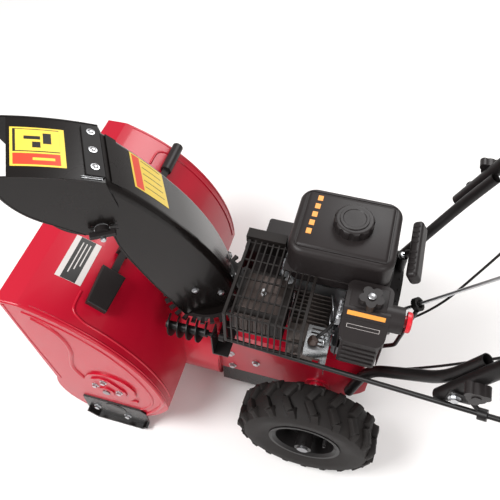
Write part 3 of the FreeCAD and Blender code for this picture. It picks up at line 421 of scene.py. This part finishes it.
def on_wall(x, angle, lift=0.0):
    """A place on the housing's rear wall at an angle above level."""
    return at(x, (WALL_R + lift) * cos(angle), WALL_AXIS + (WALL_R + lift) * sin(angle))


LABEL_THICK = 0.3 * MM


def skin(name, rows, body, material, thick):
    """A thin plate whose upper face goes through rows of points and whose thickness is below it."""
    shape = bmesh.new()
    grid = [[shape.verts.new(point) for point in row] for row in rows]
    for low, high in zip(grid, grid[1:]):
        for k in range(len(low) - 1):
            shape.faces.new((low[k], low[k + 1], high[k + 1], high[k]))
    bmesh.ops.recalc_face_normals(shape, faces=shape.faces)
    bmesh.ops.solidify(shape, geom=shape.faces[:], thickness=thick)
    piece(name, shape, body, material)


def turn_on(shape, outline, place, out, steps=24):
    """A turned bead on a face: outline pairs are (height, radius) in millimetres."""
    turned(shape, [(tall * MM, max(radius, 0.01) * MM) for tall, radius in outline], place, out, steps)


print("hinge at", [round(v, 3) for v in aimed(0, *HINGE_AT)])

# %% Print and trim colours
LABEL_YELLOW = surface("label_yellow", "#F2D552", "#EDCB48", 60, 4, 0.0, (0.32, 0.4))
LABEL_RED = surface("label_red", "#E8452A", "#DF3D24", 60, 4, 0.0, (0.32, 0.4))
LABEL_BLACK = surface("label_black", "#1A1817", "#211F1E", 60, 4, 0.0, (0.32, 0.4))
LABEL_SILVER = surface("label_silver", "#CFC9C6", "#BDB7B4", 40, 3, 0.0, (0.28, 0.36))
LABEL_ORANGE = surface("label_orange", "#EFA044", "#E5953A", 40, 3, 0.0, (0.36, 0.44))
BOOT = surface("spark_boot", "#4A3A33", "#3B2E29", 20, 1.4, 0.05, (0.4, 0.5))
FIN = surface("fin_alloy", "#7C7470", "#5F5754", 14, 1.4, 0.1, (0.4, 0.6), Metallic=0.9)
SCORCHED = surface("scorched_steel", "#5E5450", "#3F3836", 24, 1.6, 0.05, (0.36, 0.55), Metallic=0.9)
SHROUD_STARTS = 30 * MM
# The fins of the head are duller than the other castings, and the heat shield is black beside a bright shroud.
NODES["cylinder_head"].data.materials[0] = FIN
shields = NODES["engine_shields"].data
shields.materials.append(STOVE)
for face in shields.polygons:
    face.material_index = 1 if face.center.x < SHROUD_STARTS else 0
print("dark faces of the shields", sum(face.material_index for face in shields.polygons))

# %% [markdown]
# ## Chute and deflector
# A strap riveted to the deflector covers its hinge pin, and a matching leaf lies on the end of the chute. The
# edges are folded hems, which catch the light as thin lines. The labels are plain fields of colour with bars,
# and carry no words.
# %% Chute and deflector
HOOD = ((156, 839), (240, 874), (318, 896))
BACK = ((43, 678), (97, 762), (154, 834))
CURVE_STEPS = 40


def strip(name, curve, first, last, low, high, lift, body, material):
    """A label on a curved part of the chute: first and last are shares of the curve."""
    points = arc(*curve, CURVE_STEPS)[round(first * CURVE_STEPS):round(last * CURVE_STEPS) + 1]
    rows = [[aimed(low + (high - low) * k / 4, *(point + out * lift)) for k in range(5)]
            for point, out in points]
    skin(name, rows, body, material, LABEL_THICK)


strip("hood_label", HOOD, 0.35, 0.85, -46, 48, 0.4, "deflector", LABEL_YELLOW)
strip("hood_label_field", HOOD, 0.39, 0.82, -42, 14, 0.6, "deflector", LABEL_BLACK)
strip("hood_label_paper", HOOD, 0.40, 0.81, -40, 12, 0.8, "deflector", LABEL_YELLOW)
strip("hood_label_band", HOOD, 0.39, 0.82, 18, 44, 0.6, "deflector", LABEL_RED)
strip("hood_label_bar", HOOD, 0.45, 0.66, 28, 34, 0.8, "deflector", LABEL_YELLOW)
marks = ((0.47, 0.55, -32, -6), (0.58, 0.72, -24, -16), (0.58, 0.66, -10, 4))
for k, (first, last, low, high) in enumerate(marks):
    strip("hood_label_mark_%d" % k, HOOD, first, last, low, high, 1.0, "deflector", LABEL_BLACK)
strip("chute_label", BACK, 0.18, 0.65, -56, 36, 0.4, "chute", LABEL_YELLOW)
strip("chute_label_band", BACK, 0.53, 0.63, -53, 33, 0.6, "chute", LABEL_RED)
for k in range(5):
    across = -50 + 17 * k
    strip("chute_label_line_%d" % k, BACK, 0.22, 0.49, across, -48.6 + 17 * k, 0.6, "chute", LABEL_BLACK)

shape = bmesh.new()
for across in (-46, 0, 42):
    seat = aimed(across, 168, 850.3)
    out = (aimed(across, 158, 870.3) - seat).normalized()
    turn_on(shape, [(0, 7.5), (1, 7.5), (1.2, 5), (3.0, 4.2), (3.8, 2.2), (4.0, 0)], seat, out)
piece("hinge_rivets", shape, "deflector", ZINC)
rows = [[aimed(across, *(point + out * 2.6)) for across in (-60, -30, 0, 30, 60)]
        for point, out in arc(*BACK, CURVE_STEPS)[33:39]]
skin("hinge_leaf", rows, "chute", GLOSS, 2.4 * MM)
for across in (62.6, 66.6):
    wire = [aimed(across, *(point + out * 1.0)) for point, out in arc(*HOOD, CURVE_STEPS)[1:10]]
    line("hinge_wire_%d" % across, wire, 0.9 * MM, "deflector", ZINC)

for sign in (1, -1):
    edge = [aimed(sign * 73.2, *(point + out * 0.2)) for point, out in arc(*HOOD, 12)]
    line("hood_hem_%d" % (sign > 0), edge, 1.5 * MM, "deflector", GLOSS)
    spots = ((319, 895), (325, 863), (307, 813), (263, 765), (215, 722.5))
    rim = [aimed(sign * 73.4, *spot) for spot in spots]
    line("hood_rim_%d" % (sign > 0), rim, 1.5 * MM, "deflector", GLOSS)
    spots = ((170, 800), (170, 700), (158, 640), (123, 532), (83, 428), (67, 384))
    lip = [aimed(sign * 69.4, *spot) for spot in spots]
    line("chute_hem_%d" % (sign > 0), lip, 1.6 * MM, "chute", GLOSS)
KNOB_REACH = sqrt((KNOB_AT[0] - HINGE_AT[0]) ** 2 + (KNOB_AT[1] - HINGE_AT[1]) ** 2)
SLOT_HALF, SLOT_FROM, SLOT_PLATE_ENDS = 5, -116, 150
for k, reach in enumerate((KNOB_REACH - SLOT_HALF, KNOB_REACH + SLOT_HALF)):
    sweep = [radians(SLOT_FROM + 5 * step) for step in range(11)]
    slot_line = [aimed(74.4, HINGE_AT[0] + reach * cos(a), HINGE_AT[1] + reach * sin(a)) for a in sweep
                 if HINGE_AT[0] + reach * cos(a) > SLOT_PLATE_ENDS]
    line("hood_slot_%d" % k, slot_line, 0.8 * MM, "deflector", SATIN)

shape = bmesh.new()
outwards = (aimed(80, *KNOB_AT) - aimed(70, *KNOB_AT)).normalized()
turn_on(shape, [(0, 14), (1.4, 14), (1.6, 13.6)], aimed(74.2, *KNOB_AT), outwards)
turn_on(shape, [(0, 5), (7, 5), (8, 4), (8, 0)], aimed(95, *KNOB_AT), outwards)
piece("deflector_knob_bolt", shape, "deflector_knob", ZINC)

shape = bmesh.new()
for across, forward, z, out in ((71, -20, 440, (1, 0)), (71, 36, 470, (1, 0)), (-71, -20, 440, (-1, 0)),
                                (30, -63, 430, (0, -1)), (-30, -63, 430, (0, -1))):
    seat = aimed(across, forward, z)
    normal = (aimed(across + out[0], forward + out[1], z) - seat).normalized()
    turn_on(shape, [(-1, 8), (1, 8), (1.2, 5.6), (4.4, 5.6), (5, 4.8), (5, 0)], seat, normal, 12)
piece("chute_bolts", shape, "chute", ZINC)

# %% [markdown]
# ## Housing
# Pressed beads stiffen the wrap and the side plates. Each is a half-sunk round line along the real surface.
# The side plates end in a rolled rim, and a plain rating plate with bars sits on the sloping back.
# %% Housing beads and plate
BEAD, SEAM, RIM, SIDE_BEAD, FRONT_BEAD, SWIRL = 3.4 * MM, 2.2 * MM, 5.0 * MM, 4.4 * MM, 4 * MM, 7 * MM


def ridge(name, points, radius):
    """A bead pressed into the red sheet."""
    line(name, points, radius, "chassis", RED)


def round_side(inset, degrees):
    """Places on a side plate, inset from its round rear edge, at angles above level."""
    radius = WALL_R - inset
    return [(radius * cos(radians(a)), WALL_AXIS + radius * sin(radians(a))) for a in degrees]


for sign in (1, -1):
    tag = "left" if sign > 0 else "right"
    up_wall = [on_wall(sign * 262, radians(4 + 3 * k), -0.8) for k in range(18)]
    turn_in = [on_wall(sign * x, radians(angle), -0.8) for x, angle in ((250, 59.5), (226, 60), (200, 60))]
    ridge("wall_bead_" + tag, up_wall + turn_in, BEAD)
    ridge("wall_seam_" + tag, [on_wall(sign * 280, radians(4 + 4 * k), -0.6) for k in range(18)], SEAM)
    face_x = sign * (HOUSE_HALF - 0.8)
    rim = [(50, 515), (94, 517)] + round_side(5, range(74, -3, -7)) + [(314, 72), (262, 32), (204, 19)]
    ridge("side_rim_" + tag, [at(face_x, *spot) for spot in rim], RIM)
    inner = [(94, 488)] + round_side(32, range(70, 1, -8)) + [(330, 130), (300, 100)]
    ridge("side_bead_" + tag, [at(face_x - sign * 1.2, *spot) for spot in inner], SIDE_BEAD)
    swirl = [(110, 470), (150, 445), (170, 400), (172, 350), (158, 305), (150, 262), (162, 224), (186, 190),
             (204, 160), (250, 142), (300, 150)]
    ridge("side_swirl_" + tag, [at(face_x - sign * 2, *spot) for spot in swirl], SWIRL)
    front = [(56, 500), (64, 400), (80, 280), (94, 170)]
    ridge("side_front_" + tag, [at(face_x - sign * 1.4, *spot) for spot in front], FRONT_BEAD)


def wall_plate(name, x0, x1, low, high, lift, material):
    """A thin plate bent to the rear wall: low and high are degrees above level."""
    rows = [[on_wall(x0 + (x1 - x0) * k / 3, radians(low + (high - low) * j / 8), lift) for k in range(4)]
            for j in range(9)]
    skin(name, rows, "chassis", material, LABEL_THICK)


wall_plate("rating_plate", 80, 192, 61, 70, 0.5, LABEL_SILVER)
wall_plate("rating_field", 80.5, 191.5, 63, 68.2, 0.7, LABEL_BLACK)
for k in range(3):
    wall_plate("rating_bar_%d" % k, 92, 150 + 12 * k, 64 + 1.3 * k, 64.35 + 1.3 * k, 0.9, LABEL_SILVER)

# %% [markdown]
# ## Tank, covers and starter
# Moulded parts have drafted steps, ribs and seams. Each is a bevelled block or a turned outline standing on
# the CAD face under it.
# %% Tank and cap
shape = bmesh.new()
block(shape, at(-90, 618, 612), at(60, 805, 622.5), 9 * MM, 3)
piece("tank_panel", shape, "chassis", MOULDED)
shape = bmesh.new()
block(shape, at(-106, 602, 545), at(76, 821, 549), 1.6 * MM, 2)
piece("tank_seam", shape, "chassis", MOULDED)
shape = bmesh.new()
for k in range(5):
    x = 20 - k * 23
    block(shape, at(x - 7, 634 + k * 1.5, 622.2), at(x + 7, 645 + k * 1.5, 623.0), 0.3 * MM, 1)
piece("tank_marks", shape, "chassis", LABEL_ORANGE)
shape = bmesh.new()
disc = [(0, 30), (1.6, 30), (2.4, 29), (2.4, 24), (1.2, 22.5), (1.2, 0)]
turn_on(shape, disc, at(-17, 724, 643.6), UP, 48)
piece("cap_disc", shape, "fuel_cap", KNOB)

# %% Air box and stop button
COVER_EDGE, COVER_SLOPE = (144, 574), atan2(52, 46)
shape = bmesh.new()


def on_slope(down, y0, y1, long, thick, rounding):
    """A strip on the cover's sloping edge, down millimetres below its top."""
    low = (-long / 2 * MM, at(0, y0, 0).y, -0.6 * MM)
    high = (long / 2 * MM, at(0, y1, 0).y, thick * MM)
    verts = block(shape, low, high, rounding * MM, 1)
    bmesh.ops.rotate(shape, cent=(0, 0, 0), matrix=Matrix.Rotation(COVER_SLOPE, 3, "Y"), verts=verts)
    x, z = COVER_EDGE[0] + down * cos(COVER_SLOPE), COVER_EDGE[1] - down * sin(COVER_SLOPE)
    bmesh.ops.translate(shape, verts=verts, vec=at(x, 0, z) - at(0, 0, 0))


on_slope(10, 748, 822, 9, 0.8, 0.2)
piece("cover_strip", shape, "chassis", LABEL_ORANGE)
shape = bmesh.new()
on_slope(36, 752, 816, 8, 0.8, 0.2)
piece("cover_strip_edge", shape, "chassis", LABEL_SILVER)
shape = bmesh.new()
on_slope(36, 753, 815, 6.4, 1.2, 0.2)
on_slope(22, 744, 826, 3, 1.6, 0.6)
for k in range(4):
    block(shape, at(189, 752, 446 + 17 * k), at(193.5, 820, 454 + 17 * k), 2 * MM, 2)
block(shape, at(76, 738, 520), at(146, 832, 524), 1.5 * MM, 2)
block(shape, at(86, 748, 570), at(140, 822, 575.5), 2.4 * MM, 2)
piece("cover_steps", shape, "chassis", MOULDED)
shape = bmesh.new()
turn_on(shape, [(0, 8), (1, 8), (2.2, 6.4), (2.6, 0)], at(122, 788, 594), UP, 24)
piece("air_box_knob_stud", shape, "air_box_knob", ZINC)
shape = bmesh.new()
turn_on(shape, [(0, 23), (3, 24.5), (7, 24.5), (9, 22), (9, 13)], at(132, 848, 548), REARWARD, 40)
piece("stop_collar", shape, "chassis", MOULDED)

# %% [markdown]
# ## Starter
# Ribs on the grip keep a gloved hand from slipping. The rope is one straight tube from the eyelet out to the
# grip.
# %% Starter grip, rope and vents
PULL = Vector((-32, 838, 549))
PULL_OUT, PULL_ACROSS = Vector((0, 0.86, 0.51)), Vector((0, -0.51, 0.86))
RIB_TILT = atan2(PULL_ACROSS.z, PULL_ACROSS.y) - pi / 2
RIB_MIDDLES = (-56, -42, -28, -14, 14, 28, 42, 56)
shape = bmesh.new()
for x in RIB_MIDDLES:
    for side_sign in (1, -1):
        centre = PULL + PULL_OUT * 28 + PULL_ACROSS * (17.6 * side_sign)
        verts = block(shape, (-3.2 * MM, -8 * MM, -1.6 * MM), (3.2 * MM, 8 * MM, 1.6 * MM), 1.4 * MM, 2)
        bmesh.ops.rotate(shape, cent=(0, 0, 0), matrix=Matrix.Rotation(RIB_TILT, 3, "X"), verts=verts)
        bmesh.ops.translate(shape, verts=verts, vec=at(x + PULL.x, centre.y, centre.z))
piece("starter_ribs", shape, "starter_grip", KNOB)
shape = bmesh.new()
turn_on(shape, [(0, 8), (5, 8), (6, 6.5), (6, 2.6), (0, 2.6)], at(PULL.x, PULL.y, 540), UP)
piece("rope_eyelet", shape, "chassis", ZINC)

shape = bmesh.new()
ROPE_R, ROPE_STEPS, ROPE_SIDES = 1.9, 30, 10
rope_from, rope_to = at(PULL.x, PULL.y, 536), at(*(PULL + PULL_OUT * 12))
rings = []
for step in range(ROPE_STEPS + 1):
    middle = rope_from.lerp(rope_to, step / ROPE_STEPS)
    around = [2 * pi * k / ROPE_SIDES for k in range(ROPE_SIDES)]
    rings.append([shape.verts.new(middle + Vector((cos(a), sin(a), 0)) * ROPE_R * MM) for a in around])
for low, high in zip(rings, rings[1:]):
    for k in range(ROPE_SIDES):
        beside = (k + 1) % ROPE_SIDES
        shape.faces.new((low[k], low[beside], high[beside], high[k]))
bmesh.ops.recalc_face_normals(shape, faces=shape.faces)
rope_mesh = bpy.data.meshes.new("starter_rope")
shape.to_mesh(rope_mesh)
shape.free()
rope_mesh.materials.append(LABEL_SILVER)
rope = bpy.data.objects.new("starter_rope", rope_mesh)
bpy.context.scene.collection.objects.link(rope)
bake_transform(rope)

VENTS = 20
shape = bmesh.new()
for k in range(VENTS):
    angle = 2 * pi * k / VENTS
    verts = block(shape, (-2.4 * MM, -1 * MM, 76 * MM), (2.4 * MM, 1 * MM, 84 * MM), 0.8 * MM, 1)
    bmesh.ops.rotate(shape, cent=(0, 0, 0), matrix=Matrix.Rotation(angle, 3, "Y"), verts=verts)
    bmesh.ops.translate(shape, verts=verts, vec=at(0, 843, CRANKSHAFT_Z))
piece("starter_vents", shape, "chassis", SATIN)

# %% [markdown]
# ## Under the cage and round the cylinder
# Studs hold the muffler, a scorched side plate has louvres, and a ribbed rubber boot caps the spark plug. A
# zinc bracket with a small spring stands for the governor between the cylinder and the air box.
# %% Muffler, boot and wires
MUFFLER_STUDS = ((136, 578), (88, 620))
shape = bmesh.new()
for x, y in MUFFLER_STUDS:
    turn_on(shape, [(0, 4), (13, 4), (14, 3), (14, 0)], at(x, y, 537), UP, 16)
    turn_on(shape, [(0, 9), (1.2, 9), (1.4, 0)], at(x, y, 532.4), UP, 24)
piece("muffler_studs", shape, "chassis", ZINC)
shape = bmesh.new()
block(shape, at(186, 530, 452), at(188, 604, 526), 0.8 * MM, 1)
for k in range(7):
    block(shape, at(187, 536 + 9.6 * k, 462), at(191, 540 + 9.6 * k, 516), 1.2 * MM, 1)
block(shape, at(90, 536, 531), at(176, 618, 534.5), 1.5 * MM, 2)
piece("muffler_louvres", shape, "chassis", SCORCHED)
shape = bmesh.new()
block(shape, at(104, 729, 534), at(150, 739.6, 537), 0.8 * MM, 1)
block(shape, at(150, 729, 512), at(153, 739.6, 537), 0.8 * MM, 1)
for x in (110, 144):
    turn_on(shape, [(0, 4.4), (3.2, 4.4), (4, 3.6), (4, 0)], at(x, 734.4, 537), UP, 16)
piece("governor_bracket", shape, "chassis", ZINC)
COIL_R = 3.4
coil = [at(116 + 0.4 * k, 734.4 + COIL_R * cos(k * pi / 4), 543 + COIL_R * sin(k * pi / 4)) for k in range(60)]
line("governor_spring", coil, 0.7 * MM, "chassis", ZINC)
shape = bmesh.new()
ribs = [(-22 + 3.2 * k + j, 8.8 + 1.5 * j) for k in range(8) for j in (0, 1)]
ribbed = [(-26, 7.4), (-24, 9.6)] + ribs + [(6, 8), (12, 6), (12, 0)]
turn_on(shape, ribbed, at(190, 696, 496), (0.1, 0.2, 1), 32)
piece("spark_boot", shape, "chassis", BOOT)
line("governor_link", [at(92, 712, 520), at(112, 718, 523), at(136, 724, 514), at(158, 730, 524)], 1.7 * MM,
     "chassis", ZINC)
line("choke_link", [at(104, 722, 496), at(130, 716, 512), at(164, 724, 500), at(176, 732, 510)], 1.5 * MM,
     "chassis", ZINC)
CLIP_R = 11
round_clip = [2 * pi * k / 14 for k in range(15)]
line("lead_clip", [at(183 + CLIP_R * cos(a), 716, 486 + CLIP_R * sin(a)) for a in round_clip],
     1.8 * MM, "chassis", ZINC)
shape = bmesh.new()
for k in range(6):
    block(shape, at(-98 + 22 * k, 529, 330), at(-92 + 22 * k, 531.5, 460), 1.1 * MM, 2)
piece("belt_cover_ribs", shape, "chassis", MOULDED)

# %% [markdown]
# ## Wheels, grips and small fittings
# The last small pieces ride on bodies that move: valves turn with the wheels and shear bolts with the augers.
# %% Grips, valves, auger bolts
shape = bmesh.new()
for sign in (1, -1):
    start, end = at(sign * 262, 1225, 962), at(sign * 270, 1446, 976)
    along = (end - start).normalized()
    for k in range(14):
        seat = end - along * (18 + 7.5 * k) * MM
        turn_on(shape, [(-1.6, 18.2), (-1, 19.6), (1, 19.6), (1.6, 18.2)], seat, along, 28)
piece("grip_rings", shape, "chassis", GRIP)
VALVE_OUT, VALVE_TURN = 60, 0.7
shape = bmesh.new()
for sign in (1, -1):
    seat = at(sign * 276, AXLE_AT[0] + VALVE_OUT * cos(VALVE_TURN), AXLE_AT[1] + VALVE_OUT * sin(VALVE_TURN))
    turn_on(shape, [(-8, 4), (10, 4), (11, 3.2), (16, 3.2), (16.5, 0)], seat, (sign, 0, 0), 16)
piece("tyre_valves", shape, "wheels", GRIP)
shape = bmesh.new()
for sign in (1, -1):
    for x in (60, 150, 240):
        seat = at(sign * x, AUGER_AT[0], AUGER_AT[1] + 15.6)
        turn_on(shape, [(0, 6), (4, 6), (4.6, 5), (4.6, 0)], seat, UP, 6)
piece("shear_bolts", shape, "auger", ZINC)
shape = bmesh.new()
for sign in (1, -1):
    dish = [(0, 30), (0.6, 30), (1.2, 28), (0.6, 26), (0.6, 0)]
    turn_on(shape, dish, at(sign * 290.6, 226, 66), (sign, 0, 0), 40)
piece("shoe_dishes", shape, "chassis", GLOSS)
NEUTRAL_Y = 1132
shape = bmesh.new()
for y in range(1116, 1190, 16):
    wide = 16 if y == NEUTRAL_Y else 10
    block(shape, at(12, y - 1, 934.8), at(12 + wide, y + 1, 935.6), 0.2 * MM, 1)
piece("gear_marks", shape, "chassis", LABEL_SILVER)

# %% [markdown]
# ## Floor and light
# A pale floor and three large soft lamps stand in for a product studio, so glossy enamel has broad bright
# shapes to mirror.
# %% Floor and lamps
MACHINE_MIDDLE = Vector((0, 0, 0.3))


def lamp(name, place, size, power):
    """A square soft lamp that faces the machine."""
    made = bpy.data.objects.new(name, bpy.data.lights.new(name, "AREA"))
    made.data.size = size
    made.data.energy = power
    bpy.context.scene.collection.objects.link(made)
    made.location = place
    made.rotation_mode = "QUATERNION"
    made.rotation_quaternion = (MACHINE_MIDDLE - Vector(place)).to_track_quat("-Z", "Y")


world = bpy.data.worlds.new("studio")
bpy.context.scene.world = world
world.use_nodes = True
world.node_tree.nodes["Background"].inputs["Color"].default_value = tint("#FFFAF8")
world.node_tree.nodes["Background"].inputs["Strength"].default_value = 0.45
lamp("key", (1.4, -1.9, 3.2), 1.5, 120)
lamp("fill", (2.4, 1.9, 2.2), 1.6, 45)
lamp("rim", (-2.4, 0.4, 2.8), 1.6, 60)

shape = bmesh.new()
bmesh.ops.create_grid(shape, x_segments=1, y_segments=1, size=9.0)
floor_mesh = bpy.data.meshes.new("floor")
shape.to_mesh(floor_mesh)
shape.free()
floor = bpy.data.objects.new("floor", floor_mesh)
bpy.context.scene.collection.objects.link(floor)
floor_mesh.materials.append(surface("studio_floor", "#F7F6F5", "#F5F4F3", 900, 40, 0.0, (0.6, 0.7)))
